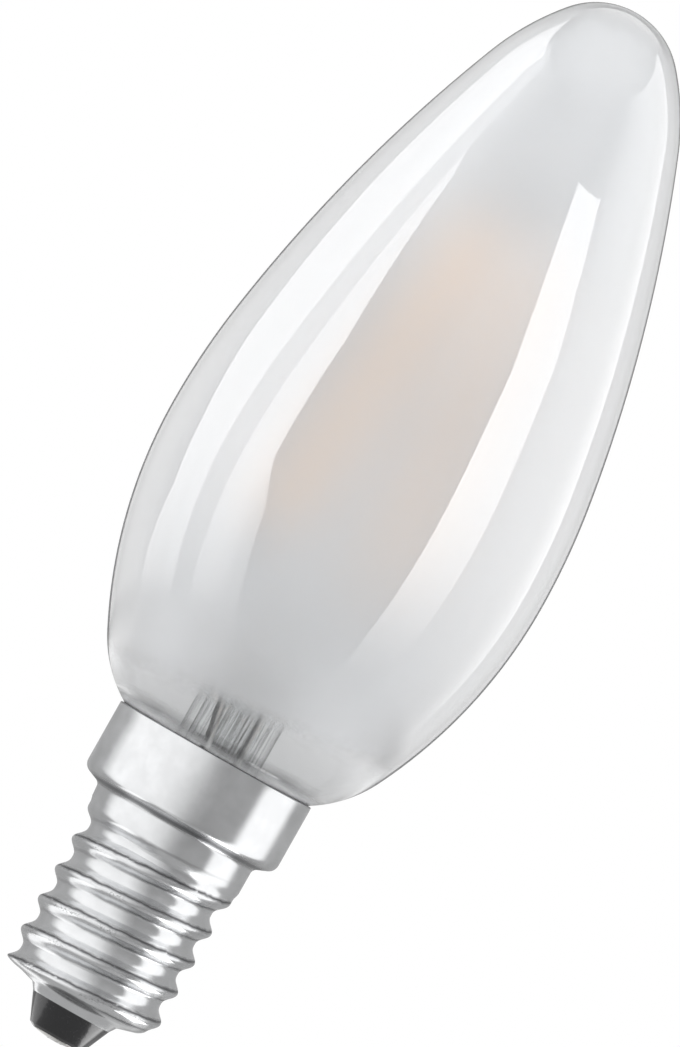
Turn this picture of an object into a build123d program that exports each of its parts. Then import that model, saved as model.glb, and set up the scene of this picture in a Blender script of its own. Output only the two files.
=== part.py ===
from build123d import *
import math
import os

# A frosted candle bulb with a small screw cap, upright on its axis: +Z runs from the contact to the tip.
# The origin is the middle of the contact's lowest face. All sizes are in millimetres.

# Glass envelope
overall_length = 96.85
bulb_diameter = 34.7
glass_wall = 0.7
belly_height = 50.42
neck_depth = 7.8
neck_clearance = 0.25
shoulder_depth = 3.45

# Where the outline's arcs meet, as shares of the way from belly to tip or to rim and of the belly's radius
nose_height_share = 0.9492
nose_radius_share = 0.2948
brow_height_share = 0.8184
brow_radius_share = 0.5070
side_height_share = 0.1939
side_radius_share = 0.9620
low_height_share = 0.8087
low_radius_share = 0.7384

# Drawn metal cap
cap_height = 27.0
cap_wall = 0.3
skirt_diameter = 17.9
skirt_depth = 6.75
step_rise = 0.7
step_inner_round = 0.55
step_outer_round = 0.9
step_width = 1.7
land_length = 2.25
thread_pitch = 2.822
thread_crest_diameter = 13.89
thread_root_diameter = 12.29
thread_sides = 18
thread_steps = 6
runout_length = 1.2
crest_height = 5.45
lip_height = 2.84
lip_diameter = 7.14
throat_height = 3.42
throat_diameter = 7.94
bottom_rise = 0.38

# Insulator and centre contact
insulator_top = 4.7
insulator_foot = 0.3
insulator_foot_diameter = 4.9
insulator_edge = 0.25
contact_diameter = 4.2
contact_dome_radius = 8.8
contact_top = 0.6
eyelet_diameter = 1.4
solder_depth = 0.45
seat_gap = 0.02
bore_clearance = 0.1

# Cement between neck and skirt
cement_depth = 3.3
cement_height = 2.0

# Glass stem and its pumping tube
flare_thickness = 0.7
flare_height = 3.3
stem_diameter = 7.6
stem_wall = 0.8
stem_bore_end = 32.0
pinch_start = 35.0
pinch_top = 38.0
pinch_thickness = 3.0
exhaust_diameter = 3.0
exhaust_bore_diameter = 1.8
exhaust_drop = 3.6
exhaust_seal = 1.2
exhaust_tip = 0.8
port_height = 0.8
port_diameter = 1.2

# Filaments and the wires that carry them
filament_turn = 30.0
filament_foot_radius = 6.8
filament_head_radius = 2.9
filament_foot_height = 46.0
filament_length = 30.0
filament_width = 1.7
filament_thickness = 1.2
tab_width = 1.0
tab_thickness = 0.2
tab_length = 4.0
weld_length = 2.6
lead_diameter = 0.7
lead_spread = 2.2
lead_lean_start = 25.5
lead_lean_end = 32.5
lead_overrun = 0.8
rod_diameter = 2.0
rod_cover = 1.0
top_wire_diameter = 0.6
top_wire_rise = 1.2

# Driver inside the thread
board_offset = 1.95
board_thickness = 0.8
board_lift = 1.7
board_drop = 5.2
board_clearance = 0.2
part_gap = 0.05
part_margin = 0.3
capacitor_diameter = 5.0
capacitor_share = 0.816
capacitor_side = -2.4
rectifier_width = 4.0
rectifier_depth = 1.5
rectifier_share = 0.447
resistor_diameter = 1.9
resistor_share = 0.421
right_side = 2.7
chip_width = 4.9
chip_depth = 1.2
chip_share = 0.513
chip_side = -0.6
driver_lead_diameter = 0.5
contact_lead_drop = 0.7
front_lead_side = -0.7
back_lead_side = 2.3
back_lead_rise = 1.2
back_lead_turn = 2.8
shell_lead_side = 3.9
shell_lead_rise = 1.4
shell_lead_slant = 0.8
shell_lead_gap = 0.3

land_diameter = skirt_diameter - 2 * step_width
neck_diameter = land_diameter - 2 * (cap_wall + neck_clearance)
neck_end = cap_height - neck_depth
exhaust_end = neck_end - exhaust_drop
board_bottom = insulator_top + board_lift
board_top = neck_end - board_drop
board_height = board_top - board_bottom
step_foot = cap_height - skirt_depth
land_start = step_foot - land_length
thread_top = land_start - runout_length
thread_throw = (thread_crest_diameter - thread_root_diameter) / 4
thread_section_radius = thread_crest_diameter / 2 - thread_throw


def turned(profile):
    """Solid of revolution about Z of a profile drawn as radius and height."""
    return revolve(Plane.XZ * profile, Axis.Z)


def rectangle(inner, outer, bottom, top):
    """Profile between two radii and two heights."""
    return Pos((inner + outer) / 2, (bottom + top) / 2) * Rectangle(outer - inner, top - bottom)


def polygon(*corners):
    """Filled profile with straight sides."""
    return make_face(Polyline(*corners, close=True))


def polar(radius, degrees):
    """Point in plan at a radius and an angle from +X."""
    return radius * math.cos(math.radians(degrees)), radius * math.sin(math.radians(degrees))


def bent_wire(points, diameter):
    """Round wire along straight runs with mitred bends."""
    path = Polyline(*points)
    section = Plane(path @ 0, z_dir=path % 0) * Circle(diameter / 2)
    return sweep(section, path=path, transition=Transition.RIGHT)


# Glass envelope


def glass_outline():
    """Outer outline from the tip to the neck, as arcs that leave each other on a tangent."""
    belly = bulb_diameter / 2
    rim_height = cap_height + seat_gap
    rise = overall_length - belly_height
    drop = belly_height - rim_height
    upper = [
        (0, overall_length),
        (nose_radius_share * belly, belly_height + nose_height_share * rise),
        (brow_radius_share * belly, belly_height + brow_height_share * rise),
        (side_radius_share * belly, belly_height + side_height_share * rise),
        (belly, belly_height),
    ]
    lower = [
        (belly, belly_height),
        (low_radius_share * belly, belly_height - low_height_share * drop),
        (skirt_diameter / 2 - cap_wall, rim_height),
        (neck_diameter / 2, cap_height - shoulder_depth),
    ]
    arcs = []
    for points, way in ((upper, Vector(1, 0)), (lower, Vector(0, -1))):
        for start, end in zip(points, points[1:]):
            arcs.append(TangentArc(start, end, tangent=way))
            way = arcs[-1] % 1
    return arcs


def make_glass_envelope():
    """Blown envelope with an open neck: smooth outside, and inside in straight bands along the same arcs."""
    neck = neck_diameter / 2
    arcs = glass_outline()
    closing = Polyline(arcs[-1] @ 1, (neck, neck_end), (0, neck_end), (0, overall_length))
    outline = Curve() + arcs + [closing]
    inside = []
    for arc in arcs:
        for share in (0, 0.5):
            way = arc % share
            inside.append(arc @ share + Vector(way.Y, -way.X) * glass_wall)
    bore = neck - glass_wall
    cavity = polygon(*inside, (bore, cap_height - shoulder_depth), (bore, neck_end), (0, neck_end))
    return turned(make_face(outline)) - turned(cavity)


# Drawn metal cap


def thread_form(inset):
    """Solid knuckle thread: a many-sided section, set off the axis, that circles it once in each pitch."""
    step = thread_pitch / thread_steps
    foot = throat_height + step + inset
    levels = math.ceil((land_start - foot) / step)
    sections = []
    for level in range(levels):
        height = foot + level * step
        aside = polar(thread_throw, 360 * (height - crest_height) / thread_pitch)
        section = RegularPolygon(thread_section_radius - inset, thread_sides)
        sections.append(Pos(*aside, height) * section)
    return loft(sections, ruled=True)


def core_radius():
    """Radius of the round core that lies wholly inside the thread."""
    return thread_section_radius * math.cos(math.pi / thread_sides) - thread_throw - seat_gap


def cap_profile(inset):
    """Filled half section of the cap without its thread, drawn in from its outer face by an inset."""
    core = core_radius()
    land = land_diameter / 2
    skirt = skirt_diameter / 2
    profile = polygon(
        (-core, lip_height),
        (lip_diameter / 2, lip_height),
        (throat_diameter / 2, throat_height),
        (core, throat_height + bottom_rise),
        (core, thread_top),
        (land, land_start),
        (land, step_foot),
        (skirt, step_foot + step_rise),
        (skirt, cap_height),
        (-core, cap_height),
    )
    if inset:
        profile = offset(profile, amount=-inset, kind=Kind.INTERSECTION)
    else:
        for radius, height, rounding in ((land, step_foot, step_inner_round),
                                         (skirt, step_foot + step_rise, step_outer_round)):
            profile = fillet(profile.vertices().sort_by_distance((radius, height, 0))[0], rounding)
    return profile & rectangle(0, skirt_diameter, 0, cap_height)


def cap_form(inset):
    """Solid form of the cap with its thread, drawn in from its outer face by an inset."""
    return turned(cap_profile(inset)) + thread_form(inset)


def make_cap_shell():
    """Drawn cap: one thin sheet, with its thread rolled through inside and outside."""
    lip_hole = rectangle(0, lip_diameter / 2 - cap_wall, 0, throat_height)
    mouth = rectangle(0, skirt_diameter / 2 - cap_wall, cap_height - 2 * cap_wall, overall_length)
    return cap_form(0) - cap_form(cap_wall) - turned(lip_hole) - turned(mouth)


def make_cap_insulator():
    """Black glass cone under the lip that also fills the cap's bottom, bored for the contact's lead."""
    lip = lip_diameter / 2
    foot = insulator_foot_diameter / 2
    cone = polygon((0, insulator_foot), (foot, insulator_foot), (lip, lip_height), (0, lip_height))
    cone = chamfer(cone.vertices().sort_by_distance((foot, insulator_foot, 0))[0], insulator_edge)
    collar = rectangle(0, lip - cap_wall - seat_gap, lip_height, throat_height + cap_wall)
    filling = cap_profile(cap_wall + seat_gap) & rectangle(0, skirt_diameter, lip_height, insulator_top)
    recess = rectangle(0, contact_diameter / 2 + seat_gap, 0, contact_top)
    bore = rectangle(0, driver_lead_diameter / 2 + bore_clearance, 0, insulator_top)
    return turned(cone + collar + filling - recess - bore)


def contact_dome(radius):
    """Height of the contact's domed underside at a radius."""
    return contact_dome_radius - math.sqrt(contact_dome_radius ** 2 - radius ** 2)


def make_centre_contact():
    """Domed plate with an eyelet."""
    eyelet = eyelet_diameter / 2
    edge = contact_diameter / 2
    middle = (eyelet + edge) / 2
    outline = Curve() + [
        ThreePointArc(
            (eyelet, contact_dome(eyelet)), (middle, contact_dome(middle)), (edge, contact_dome(edge))
        ),
        Polyline(
            (edge, contact_dome(edge)),
            (edge, contact_top),
            (eyelet, contact_top),
            (eyelet, contact_dome(eyelet)),
        ),
    ]
    return turned(make_face(outline))


def make_contact_solder():
    """Flat-ended plug of solder in the eyelet."""
    return turned(rectangle(0, eyelet_diameter / 2, 0, solder_depth))


def make_cap_cement():
    """Ring of cement that holds the neck in the skirt."""
    inner = neck_diameter / 2 + seat_gap
    outer = skirt_diameter / 2 - cap_wall - seat_gap
    top = cap_height - cement_depth
    return turned(rectangle(inner, outer, top - cement_height, top))


# Filaments and the wires that carry them


def filament_frame(turn):
    """Plane at a filament's foot: its normal runs up the filament and its Y points to the bulb's axis."""
    inwards = filament_foot_radius - filament_head_radius
    rise = math.sqrt(filament_length ** 2 - inwards ** 2)
    foot = Vector(*polar(filament_foot_radius, turn), filament_foot_height)
    head = Vector(*polar(filament_head_radius, turn), filament_foot_height + rise)
    return Plane(foot, x_dir=Vector(*polar(1, turn + 90)), z_dir=head - foot)


def make_filament(frame):
    """Coated light strip."""
    return frame * extrude(SlotOverall(filament_width, filament_thickness), filament_length)


def make_tab(frame, start):
    """Flat metal strip that carries one end of a filament."""
    return frame * Pos(0, 0, start + tab_length / 2) * Box(tab_width, tab_thickness, tab_length)


def beside_tab(frame, diameter, height):
    """Point beside a tab, on its inner face, where a wire of that diameter is welded."""
    return frame.from_local_coords((0, tab_thickness / 2 + diameter / 2 + seat_gap, height))


def make_lead_wire(frame, turn, lower_run):
    """Lead from the driver through the pinch to the foot of one filament."""
    points = lower_run + [
        (*polar(lead_spread, turn), pinch_top + lead_overrun),
        beside_tab(frame, lead_diameter, -tab_length - lead_overrun),
        beside_tab(frame, lead_diameter, weld_length - tab_length),
    ]
    return bent_wire(points, lead_diameter)


def make_top_wire(front, back):
    """Wire that joins the filaments' heads through the support rod."""
    welded = filament_length + tab_length - weld_length
    turned_over = filament_length + tab_length + top_wire_rise
    points = [
        beside_tab(front, top_wire_diameter, welded),
        beside_tab(front, top_wire_diameter, turned_over),
        beside_tab(back, top_wire_diameter, turned_over),
        beside_tab(back, top_wire_diameter, welded),
    ]
    return bent_wire(points, top_wire_diameter)


def make_support_rod(top_wire):
    """Glass rod on the pinch, with the top wire sealed through its end."""
    rod_top = top_wire.bounding_box().max.Z + rod_cover
    return Pos(0, 0, (pinch_top + rod_top) / 2) * Cylinder(rod_diameter / 2, rod_top - pinch_top) - top_wire


# Glass stem and its pumping tube


def make_glass_stem(leads):
    """Flared tube, sealed to the neck's end, whose top is pressed flat round the leads."""
    outer = stem_diameter / 2
    bore = outer - stem_wall
    seal = neck_diameter / 2
    spread = seal - glass_wall
    flare_top = neck_end + flare_height
    flare_bottom = neck_end - flare_thickness
    middle = neck_end + flare_height / 4
    tube = turned(polygon(
        (bore, flare_top), (bore, stem_bore_end), (outer, stem_bore_end), (outer, flare_top),
        ((outer + spread) / 2, middle), (spread, neck_end), (seal, neck_end), (seal, flare_bottom),
        (spread - flare_thickness / 2, flare_bottom), ((bore + spread) / 2, middle - flare_thickness),
    ))
    half = pinch_thickness / 2
    flat = polygon(
        (-outer, stem_bore_end), (outer, stem_bore_end), (half, pinch_start), (half, pinch_top),
        (-half, pinch_top), (-half, pinch_start),
    )
    pressed = Rot(0, 0, filament_turn) * extrude(Plane.YZ * flat, outer, both=True)
    pressed = pressed & Pos(0, 0, pinch_top / 2) * Cylinder(outer, pinch_top)
    well = Pos(0, 0, stem_bore_end + port_height / 2) * Cylinder(exhaust_bore_diameter / 2, port_height)
    port = Pos(0, 0, stem_bore_end + port_height) * Rot(0, 0, filament_turn) * Rot(90, 0, 0) * Cylinder(
        port_diameter / 2, stem_diameter, align=(Align.CENTER, Align.CENTER, Align.MIN)
    )
    stem = tube + pressed - well - port
    for lead in leads:
        stem = stem - lead
    return stem


def make_exhaust_tube():
    """Pumping tube, open to the port at its top and melted shut at its lower end."""
    outer = exhaust_diameter / 2
    bore = exhaust_bore_diameter / 2
    tube = rectangle(0, outer, exhaust_end, stem_bore_end)
    tube = chamfer(tube.vertices().sort_by_distance((outer, exhaust_end, 0))[0], exhaust_tip)
    return turned(tube - rectangle(0, bore, exhaust_end + exhaust_seal, stem_bore_end))


# Driver inside the thread


def make_driver_board():
    """Upright circuit board that fits across the cap's bore."""
    bore = core_radius() - cap_wall
    far_face = board_offset + board_thickness / 2
    width = 2 * (math.sqrt(bore ** 2 - far_face ** 2) - board_clearance)
    return Pos(0, -board_offset, board_bottom + board_height / 2) * Box(width, board_thickness, board_height)


def on_board(side, depth, height):
    """Place of a part's middle on the board's inner face."""
    return Pos(side, board_thickness / 2 + part_gap + depth / 2 - board_offset, height)


def make_smoothing_capacitor():
    """Upright can on the board."""
    middle = (board_bottom + board_top) / 2
    can = Cylinder(capacitor_diameter / 2, capacitor_share * board_height)
    return on_board(capacitor_side, capacitor_diameter, middle) * can


def make_rectifier():
    """Moulded block at the board's upper right."""
    height = rectifier_share * board_height
    block = Box(rectifier_width, rectifier_depth, height)
    return on_board(right_side, rectifier_depth, board_top - part_margin - height / 2) * block


def make_fuse_resistor():
    """Round-bodied resistor at the board's lower right."""
    length = resistor_share * board_height
    body = Cylinder(resistor_diameter / 2, length)
    return on_board(right_side, resistor_diameter, board_bottom + part_margin + length / 2) * body


def make_driver_chip():
    """Flat chip on the board's outer face."""
    outwards = board_offset + board_thickness / 2 + part_gap + chip_depth / 2
    chip = Box(chip_width, chip_depth, chip_share * board_height)
    return Pos(chip_side, -outwards, (board_bottom + board_top) / 2) * chip


def make_contact_lead():
    """Lead from the board's lower edge, through the insulator, to the solder."""
    turn_end = insulator_top + driver_lead_diameter
    points = [
        (0, -board_offset, board_bottom),
        (0, -board_offset, board_bottom - contact_lead_drop),
        (0, 0, turn_end),
        (0, 0, solder_depth),
    ]
    return bent_wire(points, driver_lead_diameter)


def make_shell_lead():
    """Lead from the board's upper edge to the cap's wall."""
    bore = core_radius() - cap_wall
    upper = board_top + shell_lead_rise
    heading = math.degrees(math.atan2(-board_offset, shell_lead_side))
    points = [
        (shell_lead_side, -board_offset, board_top),
        (shell_lead_side, -board_offset, upper),
        (*polar(bore - shell_lead_gap, heading), upper + shell_lead_slant),
    ]
    return bent_wire(points, driver_lead_diameter)


front_turn = 180 + filament_turn
back_turn = filament_turn
front_frame = filament_frame(front_turn)
back_frame = filament_frame(back_turn)
front_run = [
    (front_lead_side, -board_offset, board_top),
    (front_lead_side, -board_offset, lead_lean_start),
    (*polar(lead_spread, front_turn), lead_lean_end),
]
back_run = [
    (back_lead_side, -board_offset, board_top),
    (back_lead_side, -board_offset, board_top + back_lead_rise),
    (*polar(lead_spread, back_turn), board_top + back_lead_rise + back_lead_turn),
]
front_lead = make_lead_wire(front_frame, front_turn, front_run)
back_lead = make_lead_wire(back_frame, back_turn, back_run)
top_wire = make_top_wire(front_frame, back_frame)

pieces = {
    "glass_envelope": make_glass_envelope(),
    "cap_shell": make_cap_shell(),
    "cap_insulator": make_cap_insulator(),
    "centre_contact": make_centre_contact(),
    "contact_solder": make_contact_solder(),
    "cap_cement": make_cap_cement(),
    "glass_stem": make_glass_stem([front_lead, back_lead]),
    "exhaust_tube": make_exhaust_tube(),
    "support_rod": make_support_rod(top_wire),
    "lead_wire_front": front_lead,
    "lead_wire_back": back_lead,
    "top_wire": top_wire,
    "driver_board": make_driver_board(),
    "smoothing_capacitor": make_smoothing_capacitor(),
    "rectifier": make_rectifier(),
    "fuse_resistor": make_fuse_resistor(),
    "driver_chip": make_driver_chip(),
    "contact_lead": make_contact_lead(),
    "shell_lead": make_shell_lead(),
}
for side, frame in (("front", front_frame), ("back", back_frame)):
    pieces[f"filament_{side}"] = make_filament(frame)
    pieces[f"filament_{side}_foot_tab"] = make_tab(frame, -tab_length)
    pieces[f"filament_{side}_head_tab"] = make_tab(frame, filament_length)

os.makedirs("parts", exist_ok=True)
for name, piece in pieces.items():
    export_step(piece, f"parts/{name}.step")
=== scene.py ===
import math

import bpy
from bpy.props import FloatProperty, FloatVectorProperty, PointerProperty
from mathutils import Matrix, Vector


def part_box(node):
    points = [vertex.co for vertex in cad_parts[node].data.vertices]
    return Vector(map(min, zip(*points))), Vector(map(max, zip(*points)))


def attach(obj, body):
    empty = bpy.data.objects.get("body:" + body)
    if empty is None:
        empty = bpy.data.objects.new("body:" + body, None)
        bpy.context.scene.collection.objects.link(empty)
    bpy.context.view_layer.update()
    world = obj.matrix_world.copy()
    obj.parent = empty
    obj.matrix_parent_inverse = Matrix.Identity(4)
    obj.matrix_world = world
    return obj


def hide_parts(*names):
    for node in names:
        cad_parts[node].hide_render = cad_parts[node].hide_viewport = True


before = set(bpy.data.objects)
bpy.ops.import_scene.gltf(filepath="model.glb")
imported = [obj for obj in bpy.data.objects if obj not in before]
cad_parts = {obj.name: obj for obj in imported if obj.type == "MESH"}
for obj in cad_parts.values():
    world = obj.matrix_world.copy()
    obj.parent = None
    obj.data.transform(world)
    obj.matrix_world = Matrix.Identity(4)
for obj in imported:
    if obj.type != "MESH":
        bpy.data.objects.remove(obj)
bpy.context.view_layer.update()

bl_info = {
    "name": "Candle Bulb",
    "version": (1, 0, 0),
    "blender": (4, 5, 0),
    "location": "View3D > Sidebar > Candle Bulb",
    "description": "Dresses the frame of a frosted candle bulb with a small screw cap",
    "category": "Object",
}

GLASS_LOW, GLASS_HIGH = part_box("glass_envelope")
CAP_LOW, CAP_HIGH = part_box("cap_shell")

# Millimetres in a metre, for finishes, which measure in millimetres
MM = 1000
# Points in each ring of the glass and of the cap
AROUND = 160
# Radius of the smallest ring, at the glass tip
TIP_RADIUS = 0.00001
# Height between two rings of the thread, and how far its rings go on above the start of the land
THREAD_STEP = 0.00009
THREAD_OVERLAP = 0.0012
# Height over which the thread swells out of the cap's underside
THREAD_SWELL = 0.0006
# Radii of the bends at the foot and the head of the step, and of the rim's edges
FOOT_BEND = 0.00055
HEAD_BEND = 0.0009
RIM_ROUND = 0.00012
# How much higher the inside of the step is than its outside
STEP_LIFT = 0.0003
GLASS_IOR = 1.5
WHITE = (1.0, 1.0, 1.0, 1.0)
# Lower and upper ends of the tall light screens
SCREEN_FOOT = -0.36
SCREEN_TOP = 0.465
# Width of the camera's sensor in millimetres
SENSOR = 36.0


def length(name, description, default):
    """A size in metres that a user may change."""
    return FloatProperty(name=name, description=description, default=default, unit="LENGTH", precision=5)


def share(name, description, default):
    """A number from 0 to 1."""
    return FloatProperty(name=name, description=description, default=default, min=0.0, max=1.0,
                         subtype="FACTOR")


def colour(name, description, default):
    """A linear colour."""
    return FloatVectorProperty(name=name, description=description, default=default, min=0.0, max=1.0,
                               size=3, subtype="COLOR")


class GlassSettings(bpy.types.PropertyGroup):
    """Form and finish of the blown envelope."""

    tip: length("Tip", "Height of the glass tip above the contact", GLASS_HIGH.z)
    radius: length("Radius", "Largest radius of the glass", min(*GLASS_HIGH.xy, *-GLASS_LOW.xy))
    belly: length("Belly", "Height of the widest place", 0.05042)
    neck_end: length("Neck end", "Height of the neck's open end", GLASS_LOW.z)
    neck_radius: length("Neck radius", "Outer radius of the neck", 0.0067)
    shoulder: length("Shoulder", "Height where the neck begins to open", 0.02355)
    rim_radius: length("Rim radius", "Radius where the glass meets the cap's rim", 0.00865)
    rim_height: length("Rim height", "Height where the glass meets the cap's rim", 0.02702)
    wall: length("Wall", "Thickness of the glass", 0.0007)
    frost_start: length("Frost start", "Height where the frosting begins", 0.0315)
    frost_fade: length("Frost fade", "Height over which the frosting comes in", 0.0018)
    frost_lean: FloatProperty(name="Frost lean", description="Rise of the frosting's edge across the glass",
                              default=0.11)
    frosting: share("Frosting", "Roughness of the frosted glass", 0.72)
    clearness: share("Clearness", "Roughness of the clear band", 0.02)
    haze: share("Haze", "Share of the frosting that the clear band keeps", 0.13)
    tint: colour("Tint", "Colour of the light that comes through the frosting", (0.955, 0.97, 0.985))
    milk: colour("Milk", "Colour of the light that the frosting throws back", (0.91, 0.92, 0.935))
    milkiness: share("Milkiness", "Share of the light that the frosting throws back", 0.30)


class CapSettings(bpy.types.PropertyGroup):
    """Form and finish of the drawn metal cap."""

    rim: length("Rim", "Height of the skirt's rim", CAP_HIGH.z)
    skirt_radius: length("Skirt radius", "Outer radius of the skirt", CAP_HIGH.x)
    wall: length("Wall", "Thickness of the sheet", 0.0003)
    step_foot: length("Step foot", "Height where the step begins", 0.02025)
    step_rise: length("Step rise", "Rise of the slanted step", 0.0007)
    land_radius: length("Land radius", "Radius of the plain land above the thread", 0.00725)
    land_start: length("Land start", "Height where the thread has run out into the land", 0.018)
    runout: length("Run-out", "Height over which the last groove fades", 0.0022)
    pitch: length("Pitch", "Pitch of the thread", 0.002822)
    crest_radius: length("Crest radius", "Radius of the thread's crests", 0.006945)
    root_radius: length("Root radius", "Radius of the thread's roots", 0.006145)
    knuckle: FloatProperty(name="Knuckle", description="How much narrower the crests are than the roots",
                           default=1.45, min=0.5, max=4.0)
    crest_height: length("Crest height", "Height of a crest on the +X side", 0.00545)
    lip_height: length("Lip height", "Height of the lip round the insulator", CAP_LOW.z)
    lip_radius: length("Lip radius", "Radius of the lip round the insulator", 0.00357)
    throat_height: length("Throat height", "Height of the cap's underside at the lip", 0.00342)
    throat_radius: length("Throat radius", "Radius of the cap's underside at the lip", 0.00397)
    underside_edge: length("Underside edge", "Height of the cap's underside at the thread", 0.0038)
    underside_radius: length("Underside radius", "Radius of the cap's underside at the thread", 0.0053)
    metal: colour("Metal", "Colour of the plated sheet", (0.772, 0.78, 0.79))
    satin: share("Satin", "Roughness of the plated sheet", 0.18)


class InsideSettings(bpy.types.PropertyGroup):
    """Finishes of what is under the cap and behind the glass."""

    insulator: colour("Insulator", "Colour of the insulator's glass", (0.012, 0.012, 0.013))
    contact: colour("Contact", "Colour of the contact plate", (0.60, 0.59, 0.57))
    solder: colour("Solder", "Colour of the solder", (0.55, 0.55, 0.56))
    stem: colour("Stem", "Colour of the stem's glass", (0.985, 0.988, 0.988))
    wire: colour("Wire", "Colour of the wires and end strips", (0.90, 0.89, 0.87))
    filament: colour("Filament", "Colour of the filaments' coat", (0.95, 0.44, 0.06))
    cement: colour("Cement", "Colour of the cap's cement", (0.62, 0.55, 0.44))
    board: colour("Board", "Colour of the circuit board", (0.03, 0.17, 0.07))
    sleeve: colour("Sleeve", "Colour of the capacitor's sleeve", (0.02, 0.025, 0.06))
    moulding: colour("Moulding", "Colour of the moulded driver parts", (0.018, 0.018, 0.018))
    resistor: colour("Resistor", "Colour of the resistor's coat", (0.16, 0.27, 0.36))


class StageSettings(bpy.types.PropertyGroup):
    """Camera, lamps and background."""

    tilt: FloatProperty(name="Tilt", description="How far the bulb leans to the right in the picture",
                        default=math.radians(29.5), subtype="ANGLE")
    aim_side: length("Aim side", "Place of the picture's middle to the right of the axis", -0.00048)
    aim_height: length("Aim height", "Place of the picture's middle above the contact", 0.04846)
    picture: length("Picture", "Height that the picture covers at the bulb", 0.08582)
    lens: FloatProperty(name="Lens", description="Focal length in millimetres", default=900.0)
    fill: FloatProperty(name="Fill", description="Strength of the far screens at their foot", default=0.70)
    floor: length("Floor", "Height of the floor under the hanging bulb", -0.42)
    screens: length("Screens", "Distance of the side screens from the axis", 0.30)


class Socket:
    """One output in a node tree. Sums written with it add Math nodes."""

    def __init__(self, tree, output):
        self.tree = tree
        self.output = output

    def __add__(self, other):
        return self.tree.maths("ADD", self, other)

    def __radd__(self, other):
        return self.tree.maths("ADD", other, self)

    def __sub__(self, other):
        return self.tree.maths("SUBTRACT", self, other)

    def __rsub__(self, other):
        return self.tree.maths("SUBTRACT", other, self)

    def __mul__(self, other):
        return self.tree.maths("MULTIPLY", self, other)

    def __rmul__(self, other):
        return self.tree.maths("MULTIPLY", other, self)

    def __truediv__(self, other):
        return self.tree.maths("DIVIDE", self, other)

    def __rtruediv__(self, other):
        return self.tree.maths("DIVIDE", other, self)


class Tree:
    """Node tree of one finish, filled by calls."""

    def __init__(self, node_tree):
        self.nodes = node_tree.nodes
        self.links = node_tree.links
        self.nodes.clear()

    def node(self, kind, settings=None, sockets=None, output=0):
        """Adds a node with its settings, then the values or links of its sockets."""
        made = self.nodes.new(kind)
        for name, value in (settings or {}).items():
            if name == "stops":
                self.set_stops(made.color_ramp, value)
            else:
                setattr(made, name, value)
        for key, value in (sockets or {}).items():
            if isinstance(value, Socket):
                self.links.new(value.output, made.inputs[key])
            else:
                made.inputs[key].default_value = value
        return Socket(self, made.outputs[output]) if made.outputs else made

    def set_stops(self, ramp, stops):
        """Gives a ramp its places and grey levels or colours."""
        while len(ramp.elements) < len(stops):
            ramp.elements.new(1.0)
        for element, (place, value) in zip(ramp.elements, stops):
            element.position = place
            element.color = (value, value, value, 1.0) if isinstance(value, float) else (*value, 1.0)

    def maths(self, operation, first, second=0.0):
        """Result of one Math node."""
        return self.node("ShaderNodeMath", {"operation": operation}, {0: first, 1: second})

    def rise(self, value, start, end):
        """0 before start and 1 after end, smooth between them."""
        return self.node("ShaderNodeMapRange", {"interpolation_type": "SMOOTHSTEP"},
                         {"Value": value, "From Min": start, "From Max": end})

    def band(self, value, middle, half):
        """1 at the middle, falling smoothly to 0 at half a band's width on each side."""
        off = self.maths("ABSOLUTE", value - middle)
        return 1 - self.rise(off, 0.0, half)

    def between(self, factor, low, high):
        """Number that goes from low to high with the factor."""
        return low + factor * (high - low)

    def blend(self, factor, first, second, mode="MIX"):
        """Colour that goes from the first to the second with the factor."""
        return self.node("ShaderNodeMix", {"data_type": "RGBA", "blend_type": mode},
                         {0: factor, 6: first, 7: second}, output=2)

    def place(self):
        """Place on the bulb in millimetres: its vector, then X, Y and Z."""
        here = self.node("ShaderNodeTexCoord", output=3)
        scaled = self.node("ShaderNodeVectorMath", {"operation": "SCALE"}, {0: here, "Scale": 1000.0})
        return [scaled] + [self.node("ShaderNodeSeparateXYZ", None, {0: scaled}, output=i) for i in range(3)]

    def noise(self, vector, scale, detail=2.0, roughness=0.5):
        """Cloudy level round 0.5."""
        return self.node("ShaderNodeTexNoise", None,
                         {"Vector": vector, "Scale": scale, "Detail": detail, "Roughness": roughness})

    def stretch(self, vector, amounts):
        """The vector with each of its directions scaled."""
        return self.node("ShaderNodeVectorMath", {"operation": "MULTIPLY"}, {0: vector, 1: amounts})

    def mix(self, factor, first, second):
        """Shader that goes from the first to the second with the factor."""
        return self.node("ShaderNodeMixShader", None, {0: factor, 1: first, 2: second})

    def bump(self, height, distance, strength):
        """Normal of a face with a relief."""
        return self.node("ShaderNodeBump", None,
                         {"Strength": strength, "Distance": distance, "Height": height})

    def distance(self, vector):
        """Length of a vector."""
        return self.node("ShaderNodeVectorMath", {"operation": "LENGTH"}, {0: vector}, output=1)

    def refract(self, tone, roughness, **more):
        """Shader of light that goes through glass."""
        return self.node("ShaderNodeBsdfRefraction", None,
                         {"Color": tone, "Roughness": roughness, "IOR": GLASS_IOR, **more})

    def light(self, level, strength):
        """Shader of light of a level that may vary."""
        return self.node("ShaderNodeEmission", None, {"Color": level, "Strength": strength})

    def close(self, shader):
        """Gives the finish its surface."""
        self.node("ShaderNodeOutputMaterial", None, {"Surface": shader})


def finish(name):
    """A new material and its empty node tree."""
    material = bpy.data.materials.new(name)
    material.use_nodes = True
    return material, Tree(material.node_tree)


def surface(tree, sockets):
    """Closes a finish with one Principled shader."""
    tree.close(tree.node("ShaderNodeBsdfPrincipled", None, sockets))


def solid_colour(values, level=1.0):
    """Colour of a socket, made darker or lighter by a level."""
    return (*[value * level for value in values], 1.0)


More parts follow.
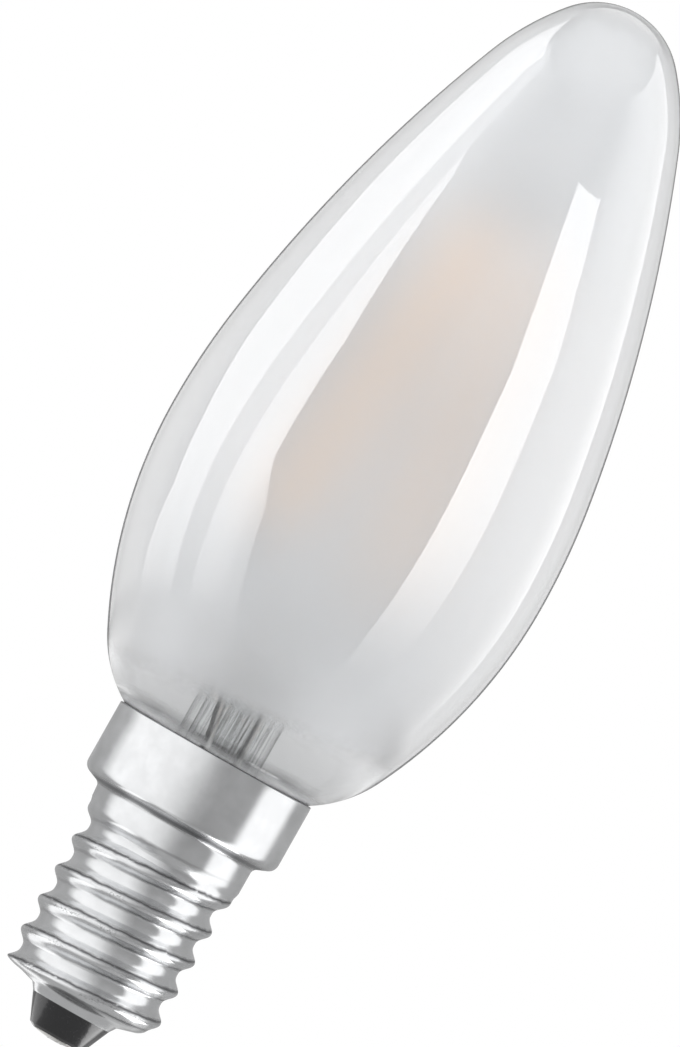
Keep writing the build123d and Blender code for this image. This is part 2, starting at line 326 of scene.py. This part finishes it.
def tangent_arc(start, end, way, count):
    """Points on the arc that leaves start along way and reaches end, and its last direction."""
    chord = end - start
    left = Vector((-way.y, way.x))
    aside = chord.dot(left)
    if abs(aside) < 1e-9:
        return [start.lerp(end, i / count) for i in range(count + 1)], way
    radius = chord.length_squared / (2 * aside)
    centre = start + left * radius
    turn = 2 * math.atan2(aside, chord.dot(way))
    points = [centre + Matrix.Rotation(turn * i / count, 2) @ (start - centre) for i in range(count + 1)]
    return points, Matrix.Rotation(turn, 2) @ way


def outwards(points):
    """Direction square to an outline at each of its points, on the left of its way."""
    found = []
    for i in range(len(points)):
        way = (points[min(i + 1, len(points) - 1)] - points[max(i - 1, 0)]).normalized()
        found.append(Vector((-way.y, way.x)))
    return found


def grid_mesh(name, rows):
    """Mesh of rings that follow each other, each a list of points round the axis."""
    verts = []
    faces = []
    count = len(rows[0])
    for row in rows:
        verts += row
    for level in range(len(rows) - 1):
        for i in range(count):
            j = (i + 1) % count
            low = level * count
            high = low + count
            faces.append((low + i, low + j, high + j, high + i))
    mesh = bpy.data.meshes.new(name)
    mesh.from_pydata(verts, [], faces)
    mesh.validate()
    mesh.shade_smooth()
    mesh.update()
    return mesh


def ring(radius, height, count=AROUND):
    """Points of a level circle round the axis."""
    return [(radius * math.cos(2 * math.pi * i / count), radius * math.sin(2 * math.pi * i / count), height)
            for i in range(count)]


def add_piece(name, mesh, slot, *nodes):
    """Puts a new piece on the bulb's body in place of the CAD nodes it stands for."""
    piece = bpy.data.objects.new(name, mesh)
    bpy.context.scene.collection.objects.link(piece)
    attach(piece, "root")
    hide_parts(*nodes)


def dress(material, *nodes):
    """Gives CAD nodes a finish."""
    for node in nodes:
        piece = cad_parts[node]
        for polygon in piece.data.polygons:
            polygon.use_smooth = True
        piece.material_slots[0].material = material


def frosted_glass(settings):
    """Outer face of the glass: milky above a clear band whose edge leans a little, under a polished skin."""
    material, tree = finish("frosted_glass")
    place, x, _, z = tree.place()
    wander = tree.noise(tree.stretch(place, (1.0, 1.0, 0.3)), 0.55, 3.0)
    speckle = tree.noise(place, 30.0, 1.0)
    level = z - x * settings.frost_lean - wander * 1.2 + speckle * 3.0 - 0.9
    start = settings.frost_start * MM
    half = settings.frost_fade * MM / 2
    frost = tree.rise(level, start - half, start + half)
    # A thin film of milk lies just above the rim, and is thinner in front of the stem
    rim = settings.rim_height * MM
    aside = tree.rise(tree.maths("ABSOLUTE", x), 3.8, 6.0)
    film = tree.rise(speckle, 0.36, 0.52) * tree.between(aside, 0.5, 0.95)
    sill = (1 - tree.rise(z, rim - 0.1, rim + 1.1)) * film
    grain = tree.noise(place, 9.0, 3.0, 0.6)
    clear = tree.refract((0.935, 0.94, 0.945, 1.0), settings.clearness)
    hazy = tree.refract(solid_colour(settings.tint), settings.frosting)
    milk = tree.node("ShaderNodeBsdfDiffuse", None, {"Color": solid_colour(settings.milk)})
    body = tree.mix(settings.milkiness + (grain - 0.5) * 0.08, hazy, milk)
    veiled = tree.mix(tree.between(frost, settings.haze, 1.0), clear, body)
    glass_skin(tree, tree.mix(sill, veiled, milk))
    return material


def inner_glass():
    """Inner face of the glass, smooth with faint waves."""
    material, tree = finish("inner_glass")
    waves = tree.noise(tree.place()[0], 0.18, 1.0)
    glass_skin(tree, tree.refract((0.98, 0.98, 0.98, 1.0), 0.01, Normal=tree.bump(waves, 0.00005, 0.3)))
    return material


def glass_skin(tree, body):
    """Closes a glass finish with a polished skin that shines more at a glancing angle."""
    shine = tree.node("ShaderNodeBsdfGlossy", None, {"Color": WHITE, "Roughness": 0.015})
    glance = tree.node("ShaderNodeFresnel", None, {"IOR": GLASS_IOR})
    tree.close(tree.mix(glance, body, shine))


def glass_outline(settings):
    """Outer outline of the envelope from its tip to the neck's end, as radius and height."""
    rise = settings.tip - settings.belly
    drop = settings.belly - settings.rim_height
    upper = [(0.0, 1.0), (0.2948, 0.9492), (0.5070, 0.8184), (0.9620, 0.1939), (1.0, 0.0)]
    points = [Vector((settings.radius * r, settings.belly + rise * h)) for r, h in upper]
    outline = []
    way = Vector((1.0, 0.0))
    for start, end, count in zip(points, points[1:], (16, 16, 34, 12)):
        arc, way = tangent_arc(start, end, way, count)
        outline += arc[:-1]
    points = [
        points[-1],
        Vector((settings.radius * 0.7384, settings.belly - drop * 0.8087)),
        Vector((settings.rim_radius, settings.rim_height)),
        Vector((settings.neck_radius, settings.shoulder)),
    ]
    way = Vector((0.0, -1.0))
    for start, end, count in zip(points, points[1:], (24, 16, 12)):
        arc, way = tangent_arc(start, end, way, count)
        outline += arc[:-1]
    return outline + [points[-1], Vector((settings.neck_radius, settings.neck_end))]


class CANDLE_OT_glass(bpy.types.Operator):
    """Blown glass envelope, frosted above its clear neck"""

    bl_idname = "candle.glass"
    bl_label = "Glass"

    def execute(self, context):
        settings = context.scene.candle_glass
        outer = glass_outline(settings)
        inner = [point + way * -settings.wall for point, way in zip(outer, outwards(outer))]
        inner[0].x = 0.0
        inner[-1] = Vector((settings.neck_radius - settings.wall, settings.neck_end))
        rows = [ring(max(point.x, TIP_RADIUS), point.y) for point in inner + outer[::-1]]
        mesh = grid_mesh("glass_envelope_blown", rows)
        mesh.materials.append(frosted_glass(settings))
        mesh.materials.append(inner_glass())
        for polygon in mesh.polygons:
            polygon.material_index = 1 if polygon.index < len(inner) * AROUND else 0
        mesh.set_sharp_from_angle(angle=math.radians(50))
        add_piece("glass_envelope_blown", mesh, "frosted_glass", "glass_envelope")
        return {"FINISHED"}


def thread_radius(settings, along):
    """Radius of the knuckle thread at a share of the pitch from a crest, with crests narrower than roots."""
    height = (0.5 + math.cos(2 * math.pi * along) / 2) ** settings.knuckle
    return settings.root_radius + (settings.crest_radius - settings.root_radius) * height


def smooth(value):
    """0 below 0 and 1 above 1, smooth between them."""
    value = min(max(value, 0.0), 1.0)
    return value * value * (3 - 2 * value)


def cap_radius(settings, turn, height):
    """Outer radius of the threaded length at an angle and a height, with the groove fading out at the top."""
    along = ((height - settings.crest_height) / settings.pitch - turn / (2 * math.pi)) % 1.0
    threaded = thread_radius(settings, along)
    lean = settings.pitch * (1 - math.cos(turn)) / 4
    fade = smooth((height - settings.land_start + settings.runout - lean) / settings.runout)
    return threaded + (settings.land_radius - threaded) * fade


def rounded(points, corners, count=6):
    """Outline with some of its corners rounded: corners maps a point's index to its radius."""
    outline = []
    for i, point in enumerate(points):
        if i not in corners:
            outline.append(point)
            continue
        before = (points[i - 1] - point).normalized()
        after = (points[i + 1] - point).normalized()
        half = before.angle(after) / 2
        reach = corners[i] / math.tan(half)
        arc, _ = tangent_arc(point + before * reach, point + after * reach, -before, count)
        outline += arc
    return outline


def uneven_ring(radii, turns, height):
    """Points of a level ring with a radius for each turn."""
    return [(radius * math.cos(turn), radius * math.sin(turn), height) for radius, turn in zip(radii, turns)]


def satin_metal(settings):
    """Plated sheet, drawn and rolled: turning lines, faint stains, painted shade lines along the thread's
    crests and flanks, in the step's corner and on the rim's edge, and dark speckles below the crests.
    """
    material, tree = finish("cap_metal")
    place, x, y, z = tree.place()
    lines = tree.noise(tree.stretch(place, (0.15, 0.15, 6.0)), 2.5, 3.0, 0.6)
    stains = tree.noise(place, 0.45, 3.0, 0.6)
    dents = tree.noise(place, 2.2, 2.0, 0.5)
    tone = tree.rise(stains, 0.3, 0.75)
    # Share of the pitch from the nearest crest, with a little wander
    turn = tree.maths("ARCTAN2", y, x) / (2 * math.pi)
    wander = (tree.noise(place, 0.9, 3.0, 0.6) - 0.5) * 0.10
    level = (z - settings.crest_height * MM) / (settings.pitch * MM) - turn + wander
    along = tree.maths("FRACT", level + 0.5) - 0.5
    foot = settings.underside_edge * MM
    land = settings.land_start * MM
    threaded = tree.rise(z, foot, foot + 0.4) * (1 - tree.rise(z, land - 0.4, land + 0.6))
    # Painted shade: dark lines along the thread's crests and flanks, with the flank line darker towards +X,
    # in the corner of the step and on the rim's edge. Dark speckles lie below the crests
    crest = tree.band(along, 0.085, 0.09) * tree.rise(tree.noise(place, 1.6, 2.0), 0.18, 0.42)
    flank = tree.band(along, -0.29, 0.075) * tree.between(tree.rise(x, -4.0, 2.5), 0.3, 0.85)
    specks = tree.rise(tree.noise(place, 7.0, 2.0), 0.5, 0.62) * 0.5
    patches = tree.rise(tree.noise(place, 0.35, 1.0), 0.5, 0.6)
    speckle_band = tree.band(along, -0.05, 0.12) * specks * patches
    corner = tree.band(z, settings.step_foot * MM + 0.24, 0.48) * 0.95
    top = settings.rim * MM
    rim = tree.rise(z, top - 0.16, top - 0.05) * 0.9
    painted_shade_and_specks = tree.maths("MAXIMUM", (crest + flank + speckle_band) * threaded, corner)
    painted_shade_and_specks = tree.maths("MAXIMUM", painted_shade_and_specks, rim)
    clean = tree.blend(tone, solid_colour(settings.metal, 0.93), solid_colour(settings.metal))
    # The dark colour is the painted shade lines and the speckles, which are also rougher
    surface(tree, {
        "Base Color": tree.blend(painted_shade_and_specks * 0.92, clean, (0.06, 0.06, 0.065, 1.0)),
        "Metallic": 1.0,
        "Roughness": settings.satin - 0.05 + tone * 0.04 + lines * 0.08 + painted_shade_and_specks * 0.15,
        "Normal": tree.bump(lines * 0.15 + dents * (0.03 + threaded * 0.5), 0.00002, 0.5),
    })
    return material


class CANDLE_OT_cap(bpy.types.Operator):
    """Drawn metal cap with its rolled thread"""

    bl_idname = "candle.cap"
    bl_label = "Cap"

    def execute(self, context):
        s = context.scene.candle_cap
        below = [
            Vector((s.lip_radius - s.wall, s.lip_height)),
            Vector((s.lip_radius, s.lip_height)),
            Vector((s.throat_radius, s.throat_height)),
            Vector((s.underside_radius, s.underside_edge)),
        ]
        above = rounded([
            Vector((s.land_radius, s.land_start)),
            Vector((s.land_radius, s.step_foot)),
            Vector((s.skirt_radius, s.step_foot + s.step_rise)),
            Vector((s.skirt_radius, s.rim)),
            Vector((s.skirt_radius - s.wall, s.rim)),
            Vector((s.skirt_radius - s.wall, s.step_foot)),
        ], {1: FOOT_BEND, 2: HEAD_BEND, 3: RIM_ROUND, 4: RIM_ROUND})[1:-1]
        levels = int((s.land_start + THREAD_OVERLAP - s.underside_edge) / THREAD_STEP)
        heights = [s.underside_edge + THREAD_STEP * i for i in range(1, levels)]
        turns = [2 * math.pi * i / AROUND for i in range(AROUND)]
        outer = [ring(point.x, point.y) for point in below]
        for height in heights:
            start = smooth((height - s.underside_edge) / THREAD_SWELL) ** 0.4
            radii = [s.underside_radius + (cap_radius(s, turn, height) - s.underside_radius) * start
                     for turn in turns]
            outer.append(uneven_ring(radii, turns, height))
        outer += [ring(point.x, point.y) for point in above if point.y > heights[-1]]
        inner = [ring(s.skirt_radius - s.wall, s.step_foot + s.step_rise + STEP_LIFT),
                 ring(s.land_radius - s.wall, s.step_foot + STEP_LIFT)]
        for height in heights[::-2]:
            if height > s.underside_edge + s.wall:
                radii = [cap_radius(s, turn, height) - s.wall for turn in turns]
                inner.append(uneven_ring(radii, turns, height))
        inner += [ring(s.throat_radius, s.throat_height + s.wall),
                  ring(s.lip_radius - s.wall, s.throat_height + s.wall)]
        mesh = grid_mesh("cap_shell_rolled", outer + inner + outer[:1])
        mesh.materials.append(satin_metal(s))
        mesh.set_sharp_from_angle(angle=math.radians(40))
        add_piece("cap_shell_rolled", mesh, "cap_metal", "cap_shell")
        return {"FINISHED"}


def black_glass(values):
    """Black moulded glass with a fire-polished face."""
    material, tree = finish("black_glass")
    place = tree.place()[0]
    flow = tree.noise(place, 1.1, 2.0)
    specks = tree.rise(tree.noise(place, 7.0, 2.0), 0.62, 0.72)
    surface(tree, {
        "Base Color": tree.blend(specks, solid_colour(values), solid_colour(values, 2.2)),
        "Roughness": 0.16 + specks * 0.12,
        "Coat Weight": 0.3,
        "Coat Roughness": 0.08,
        "Normal": tree.bump(flow, 0.00005, 0.4),
    })
    return material


def worn_metal(name, values, rough, scale, side_shade=0.0):
    """Plain metal with a mottled tone and fine marks, and with a share of painted shade that darkens its -X
    side.
    """
    material, tree = finish(name)
    place = tree.place()[0]
    mottle = tree.noise(place, scale, 3.0, 0.6)
    marks = tree.noise(place, scale * 6.0, 2.0)
    facing = tree.node("ShaderNodeSeparateXYZ", None, {0: tree.node("ShaderNodeTexCoord", output=1)})
    shaded_side = (1 - tree.rise(facing, -0.30, 0.30)) * side_shade
    tone = tree.blend(mottle, solid_colour(values, 0.8), solid_colour(values))
    surface(tree, {
        "Base Color": tree.blend(shaded_side, tone, (0.01, 0.01, 0.01, 1.0)),
        "Metallic": 1.0,
        "Roughness": rough - 0.08 + mottle * 0.16,
        "Normal": tree.bump(marks, 0.00002, 0.4),
    })
    return material


def matt_stuff(name, values, rough, scale, bump_depth, painted_glow=0.0):
    """Cement, coat or moulding with a fine grain. With a painted glow it gives off some light of its own,
    though it is no lamp.
    """
    material, tree = finish(name)
    place = tree.place()[0]
    grain = tree.noise(place, scale, 3.0, 0.6)
    broad = tree.noise(place, scale * 0.2, 2.0)
    surface(tree, {
        "Base Color": tree.blend(broad, solid_colour(values, 0.82), solid_colour(values)),
        "Roughness": rough - 0.05 + grain * 0.1,
        "Emission Color": solid_colour(values),
        "Emission Strength": painted_glow,
        "Normal": tree.bump(grain, bump_depth, 0.5),
    })
    return material


def clear_glass(values):
    """Drawn glass with faint streaks and fine dark lines along it, and with painted shade where it is seen
    edge on.
    """
    material, tree = finish("clear_glass")
    place = tree.place()[0]
    streaks = tree.noise(tree.stretch(place, (1.0, 1.0, 0.1)), 1.6, 2.0)
    strands = tree.noise(tree.stretch(place, (1.0, 1.0, 0.03)), 3.2, 2.0)
    dark_lines = tree.rise(strands, 0.56, 0.62) * 0.36
    # Painted shade: the refraction is darkened where the glass is seen edge on, and along the fine dark lines
    edge = tree.node("ShaderNodeLayerWeight", None, {"Blend": 0.35}, output=1)
    dark = tree.maths("MAXIMUM", tree.rise(edge, 0.25, 0.85), dark_lines)
    bump = tree.bump(streaks, 0.00006, 0.35)
    shades = [tree.refract(solid_colour(values, level), 0.01, Normal=bump) for level in (1.0, 0.25)]
    glass_skin(tree, tree.mix(dark, *shades))
    return material


class CANDLE_OT_contact(bpy.types.Operator):
    """Insulator, contact plate and solder under the cap"""

    bl_idname = "candle.contact"
    bl_label = "Contact"

    def execute(self, context):
        inside = context.scene.candle_inside
        dress(black_glass(inside.insulator), "cap_insulator")
        dress(worn_metal("contact_metal", inside.contact, 0.34, 1.2), "centre_contact")
        dress(worn_metal("solder", inside.solder, 0.42, 1.8), "contact_solder")
        return {"FINISHED"}


class CANDLE_OT_stem(bpy.types.Operator):
    """Glass stem, pumping tube and support rod"""

    bl_idname = "candle.stem"
    bl_label = "Stem"

    def execute(self, context):
        inside = context.scene.candle_inside
        dress(clear_glass(inside.stem), "glass_stem", "exhaust_tube", "support_rod")
        dress(matt_stuff("cement", inside.cement, 0.85, 3.0, 0.00008), "cap_cement")
        return {"FINISHED"}


class CANDLE_OT_wires(bpy.types.Operator):
    """Lead wires, top wire and the filaments' end strips"""

    bl_idname = "candle.wires"
    bl_label = "Wires"

    def execute(self, context):
        # The wires get painted shade on their -X side, at a share of 0.95
        wire = worn_metal("wire_metal", context.scene.candle_inside.wire, 0.32, 1.5, 0.95)
        tabs = [f"filament_{side}_{end}_tab" for side in ("front", "back") for end in ("foot", "head")]
        dress(wire, "lead_wire_front", "lead_wire_back", "top_wire", "contact_lead", "shell_lead", *tabs)
        return {"FINISHED"}


class CANDLE_OT_filaments(bpy.types.Operator):
    """Yellow-coated filaments"""

    bl_idname = "candle.filaments"
    bl_label = "Filaments"

    def execute(self, context):
        # The yellow coat has a painted glow of its own colour, at strength 0.64
        coat = matt_stuff("yellow_coat", context.scene.candle_inside.filament, 0.6, 2.5, 0.00006, 0.64)
        dress(coat, "filament_front", "filament_back")
        return {"FINISHED"}


class CANDLE_OT_driver(bpy.types.Operator):
    """Circuit board and its parts inside the thread"""

    bl_idname = "candle.driver"
    bl_label = "Driver"

    def execute(self, context):
        inside = context.scene.candle_inside
        dress(matt_stuff("circuit_board", inside.board, 0.45, 4.0, 0.00002), "driver_board")
        dress(matt_stuff("capacitor_sleeve", inside.sleeve, 0.25, 2.0, 0.00002), "smoothing_capacitor")
        dress(matt_stuff("black_moulding", inside.moulding, 0.55, 6.0, 0.00002), "rectifier", "driver_chip")
        dress(matt_stuff("resistor_coat", inside.resistor, 0.3, 3.0, 0.00003), "fuse_resistor")
        return {"FINISHED"}


def heading_level(tree, x, y, stops):
    """Level that changes with the heading in degrees from the camera's side."""
    turn = tree.maths("ARCTAN2", x, 0 - y) / (2 * math.pi) + 0.5
    places = [((heading + 180.0) / 360.0, level) for heading, level in stops]
    return tree.node("ShaderNodeValToRGB", {"stops": places}, {"Fac": turn})


def glow(name, strength, stops=None, foot=None):
    """Screen of light. Its level may change with the heading. With a foot it also rises from one height to
    another, and starts at a least strength."""
    material, tree = finish(name)
    _, x, y, z = tree.place()
    level = heading_level(tree, x, y, stops) * 1.0 if stops else 1.0
    if foot:
        start, end, least = foot
        level = tree.between(tree.rise(z, start * MM, end * MM) * level, least / strength, 1.0)
    tree.close(tree.light(level, strength))
    return material


def collar_glow(below, above):
    """Light of the collar's underside and upper side, each a strength and its stops. The upper side is
    brighter outwards, and the outer edge fades away."""
    material, tree = finish("collar")
    place, x, y, _ = tree.place()
    off = tree.distance(tree.stretch(place, (1.0, 1.0, 0.0)))
    growth = tree.between(tree.rise(off, 9.0, 19.0), 0.2, 1.0)
    under = tree.light(heading_level(tree, x, y, below[1]), below[0])
    over = tree.light(heading_level(tree, x, y, above[1]) * growth, above[0])
    sides = tree.mix(tree.node("ShaderNodeNewGeometry", output=6), under, over)
    tree.close(tree.mix(tree.rise(off, 22.0, 37.0), sides, tree.node("ShaderNodeBsdfTransparent")))
    return material


def dark_card(name, level):
    """Grey card that polished faces mirror."""
    material, tree = finish(name)
    tree.close(tree.light(WHITE, level))
    return material


def roof_glow(strength, reach):
    """Round light overhead, brightest in the middle."""
    material, tree = finish("roof")
    off = tree.distance(tree.node("ShaderNodeTexCoord", output=3))
    level = tree.between(tree.rise(off, reach, reach * 0.25), 0.58, 1.0)
    tree.close(tree.light(level, strength))
    return material


def mirrored_only(piece):
    """Keeps a light or card out of every view but that of polished faces."""
    bpy.context.scene.collection.objects.link(piece)
    piece.visible_camera = False
    piece.visible_diffuse = False
    piece.visible_transmission = False
    piece.visible_shadow = False


def screen(name, material, distance, *edges):
    """Upright curved screen round the axis. Each edge, from the lowest up, is a first and a last corner, and
    each corner a heading in degrees from the camera's side and a height."""
    count = 36
    verts = []
    for (first, start), (last, end) in edges:
        for i in range(count + 1):
            turn = math.radians(first + (last - first) * i / count)
            height = start + (end - start) * i / count
            verts.append((distance * math.sin(turn), -distance * math.cos(turn), height))
    row = count + 1
    faces = [(low + i, low + i + 1, low + row + i + 1, low + row + i)
             for low in range(0, row * (len(edges) - 1), row) for i in range(count)]
    mesh = bpy.data.meshes.new(name)
    mesh.from_pydata(verts, [], faces)
    mesh.materials.append(material)
    piece = bpy.data.objects.new(name, mesh)
    mirrored_only(piece)
    return piece


def upright(first, last, low, high):
    """Edges of a screen with upright sides."""
    return ((first, low), (last, low)), ((first, high), (last, high))


def collar(material):
    """Level ring round the cap's rim that keeps the cap's screens out of the glass."""
    height = 0.0279
    mesh = grid_mesh("collar", [ring(radius, height, 64) for radius in (0.0093, 0.038)])
    mesh.materials.append(material)
    mirrored_only(bpy.data.objects.new("collar", mesh))


def square(name, material, reach, height=0.0):
    """Level square mesh."""
    corners = [(x * reach, y * reach, height) for x, y in ((-1, -1), (1, -1), (1, 1), (-1, 1))]
    mesh = bpy.data.meshes.new(name)
    mesh.from_pydata(corners, [], [(0, 1, 2, 3)])
    mesh.materials.append(material)
    return mesh


class CANDLE_OT_stage(bpy.types.Operator):
    """Camera, white surroundings, floor and light screens"""

    bl_idname = "candle.stage"
    bl_label = "Stage"

    def execute(self, context):
        stage = context.scene.candle_stage
        self.white_world()
        self.pale_floor(stage)
        self.side_screens(stage.screens)
        self.far_screens(stage.fill)
        self.cap_screens()
        self.cards()
        self.camera(stage)
        context.scene.view_settings.view_transform = "Standard"
        return {"FINISHED"}

    def side_screens(self, distance):
        """Screens for the streaks on the right and the left of the glass."""
        screen("right_strip", glow("right_strip", 9.5, foot=(-0.16, 0.13, 1.4)), distance,
               *upright(43.0, 70.0, SCREEN_FOOT, 0.18), ((32.0, 0.305), (58.0, 0.278)))
        stops = [(45.0, 0.36), (56.0, 0.46), (64.0, 0.68), (75.0, 0.84), (95.0, 1.0)]
        screen("right_panel", glow("right_panel", 6.3, stops, (-0.28, 0.11, 1.0)), distance + 0.01,
               *upright(45.0, 126.0, SCREEN_FOOT, SCREEN_TOP))
        stops = [(-126.0, 0.56), (-115.0, 0.72), (-102.0, 0.84), (-86.0, 0.92)]
        outer_side = [(-122.0, SCREEN_FOOT), (-115.0, -0.05), (-109.0, 0.0), (-111.0, 0.05), (-118.0, 0.10),
                      (-124.0, 0.16), (-126.0, 0.345)]
        screen("left_strip", glow("left_strip", 9.5, stops, (-0.28, 0.06, 1.0)), distance,
               *[((heading, height), (-86.0, height)) for heading, height in outer_side])
        screen("left_gap", glow("left_gap", 6.2, foot=(-0.26, 0.08, 1.0)), distance,
               *upright(-86.0, -71.0, SCREEN_FOOT, 0.345))
        stops = [(-58.0, 1.0), (-50.0, 0.75), (-44.0, 0.45), (-34.0, 0.15)]
        inner_side = [(-22.0, SCREEN_FOOT), (-43.0, 0.0), (-52.0, 0.05), (-54.0, 0.15)]
        screen("left_wedge", glow("left_wedge", 8.5, stops, (-0.26, 0.07, 1.2)), distance,
               *[((-71.0, height), (heading, height)) for heading, height in inner_side],
               ((-71.0, 0.25), (-65.0, 0.24)))

    def far_screens(self, fill):
        """Screens for the pale tones between the streaks, and the tent that shows through the glass too."""
        stops = [(-90.0, 1.0), (-69.0, 0.86), (-41.0, 0.46), (-25.0, 0.40), (0.0, 0.38)]
        screen("left_veil", glow("left_veil", 5.2, stops, (0.18, 0.32, fill)), 0.40,
               *upright(-100.0, 0.0, 0.18, SCREEN_TOP))
        tent = screen("tent", glow("tent", 2.7, foot=(0.22, 0.44, fill)), 0.60,
                      *upright(-180.0, 180.0, -0.41, 0.47))
        tent.visible_transmission = True
        half = [(110.0, 1.0), (124.0, 0.95), (140.0, 0.64), (150.0, 0.40), (160.0, 0.30), (166.0, 0.25)]
        stops = [(-heading, level) for heading, level in half[::-1]] + half
        screen("back_glow", glow("back_glow", 4.2, stops), 0.45,
               *upright(124.0, 258.0, SCREEN_FOOT, SCREEN_TOP))

    def cap_screens(self):
        """Screens close round the cap, and the collar that parts them from the glass."""
        distance = 0.022
        foot = -0.004
        around = (1.25, [
            (-97.0, 0.30), (-80.0, 0.86), (-21.0, 0.84), (-7.0, 0.66), (6.0, 0.40), (16.0, 0.26),
            (51.0, 0.26), (56.0, 1.0), (92.0, 1.0), (101.0, 0.30)])
        screen("cap_ring", glow("cap_ring", *around), distance, *upright(-180.0, 180.0, foot, 0.0278))
        stops = [(-125.0, 0.30), (-75.0, 0.36), (-45.0, 0.22), (-20.0, 0.18), (5.0, 0.10), (40.0, 0.10),
                 (58.0, 0.12), (63.0, 1.0), (115.0, 1.0), (125.0, 0.15)]
        screen("low_ring", glow("low_ring", 4.0, stops), distance, *upright(-180.0, 180.0, -0.045, foot))
        above = (4.0, [
            (-160.0, 0.04), (-142.0, 0.06), (-131.0, 0.24), (-115.0, 0.46), (-88.0, 0.9), (-60.0, 0.82),
            (-35.0, 0.42), (-15.0, 0.3), (15.0, 0.3), (40.0, 0.40), (80.0, 0.7), (100.0, 0.44), (118.0, 0.38),
            (131.0, 0.20), (142.0, 0.06), (160.0, 0.04)])
        collar(collar_glow(around, above))

    def cards(self):
        """Roof light, and the dark cards behind and below the bulb."""
        roof_reach = 0.60
        self.flag("roof", roof_glow(4.0, roof_reach), Matrix.Translation((0.0, 0.0, 0.47)), roof_reach)
        facing = Matrix.Translation((0.0, 0.43, 0.06)) @ Matrix.Rotation(math.pi / 2, 4, "X")
        self.flag("dark_back", dark_card("dark_back", 0.22), facing, 0.165)
        self.flag("dark_below", dark_card("dark_below", 0.45), Matrix.Translation((0.0, 0.0, -0.006)), 0.013)

    def seen(self, tree):
        """1 for rays that show the surroundings as they are: from the camera, and through or off the bulb."""
        path = "ShaderNodeLightPath"
        seen = tree.node(path, output=0) + tree.node(path, output=3) + tree.node(path, output=6)
        return tree.maths("MINIMUM", seen, 1.0)

    def white_world(self):
        """White surroundings that light the bulb from all round."""
        world = bpy.data.worlds.new("white_surroundings")
        bpy.context.scene.world = world
        world.use_nodes = True
        tree = Tree(world.node_tree)
        white = tree.node("ShaderNodeBackground", None, {"Color": WHITE, "Strength": 1.0})
        tree.node("ShaderNodeOutputWorld", None, {"Surface": white})

    def pale_floor(self, stage):
        """Floor that is white where it is seen, and clear from below."""
        material, tree = finish("pale_floor")
        pale = tree.node("ShaderNodeBsdfDiffuse", None, {"Color": (0.9, 0.9, 0.9, 1.0)})
        top = tree.mix(self.seen(tree) * 0.85, pale, tree.light(WHITE, 1.0))
        below = tree.node("ShaderNodeNewGeometry", output=6)
        tree.close(tree.mix(below, top, tree.node("ShaderNodeBsdfTransparent")))
        floor = bpy.data.objects.new("floor", square("floor", material, 3.0, stage.floor))
        bpy.context.scene.collection.objects.link(floor)

    def flag(self, name, material, place, reach):
        """Flat card that only polished faces mirror."""
        card = bpy.data.objects.new(name, square(name, material, reach))
        card.matrix_world = place
        mirrored_only(card)

    def camera(self, stage):
        """Long-lensed camera that looks along +Y, turned so that the bulb leans."""
        data = bpy.data.cameras.new("photo_view")
        data.lens = stage.lens
        data.sensor_width = SENSOR
        data.sensor_fit = "AUTO"
        data.clip_start = 0.05
        data.clip_end = 20.0
        camera = bpy.data.objects.new("photo_view", data)
        bpy.context.scene.collection.objects.link(camera)
        sine = math.sin(stage.tilt)
        cosine = math.cos(stage.tilt)
        distance = stage.lens * stage.picture / SENSOR
        camera.matrix_world = Matrix((
            (cosine, -sine, 0.0, stage.aim_side),
            (0.0, 0.0, -1.0, -distance),
            (sine, cosine, 0.0, stage.aim_height),
            (0.0, 0.0, 0.0, 1.0),
        ))
        bpy.context.scene.camera = camera


class CANDLE_PT_panel(bpy.types.Panel):
    """Lists the pieces of the bulb"""

    bl_idname = "CANDLE_PT_panel"
    bl_label = "Candle Bulb"
    bl_space_type = "VIEW_3D"
    bl_region_type = "UI"
    bl_category = "Candle Bulb"

    def draw(self, context):
        for operator in OPERATORS:
            self.layout.operator(operator.bl_idname)
        for group in GROUPS:
            settings = getattr(context.scene, group)
            box = self.layout.box()
            for name in settings.__annotations__:
                box.prop(settings, name)


OPERATORS = (CANDLE_OT_glass, CANDLE_OT_cap, CANDLE_OT_contact, CANDLE_OT_stem, CANDLE_OT_wires,
             CANDLE_OT_filaments, CANDLE_OT_driver, CANDLE_OT_stage)
GROUPS = {
    "candle_glass": GlassSettings,
    "candle_cap": CapSettings,
    "candle_inside": InsideSettings,
    "candle_stage": StageSettings,
}


def register():
    for group in GROUPS.values():
        bpy.utils.register_class(group)
    for name, group in GROUPS.items():
        setattr(bpy.types.Scene, name, PointerProperty(type=group))
    for operator in OPERATORS:
        bpy.utils.register_class(operator)
    bpy.utils.register_class(CANDLE_PT_panel)


def unregister():
    bpy.utils.unregister_class(CANDLE_PT_panel)
    for operator in reversed(OPERATORS):
        bpy.utils.unregister_class(operator)
    for name, group in GROUPS.items():
        delattr(bpy.types.Scene, name)
        bpy.utils.unregister_class(group)


def main():
    register()
    bpy.ops.candle.glass()
    bpy.ops.candle.cap()
    bpy.ops.candle.contact()
    bpy.ops.candle.stem()
    bpy.ops.candle.wires()
    bpy.ops.candle.filaments()
    bpy.ops.candle.driver()
    bpy.ops.candle.stage()


if __name__ == "__main__":
    main()
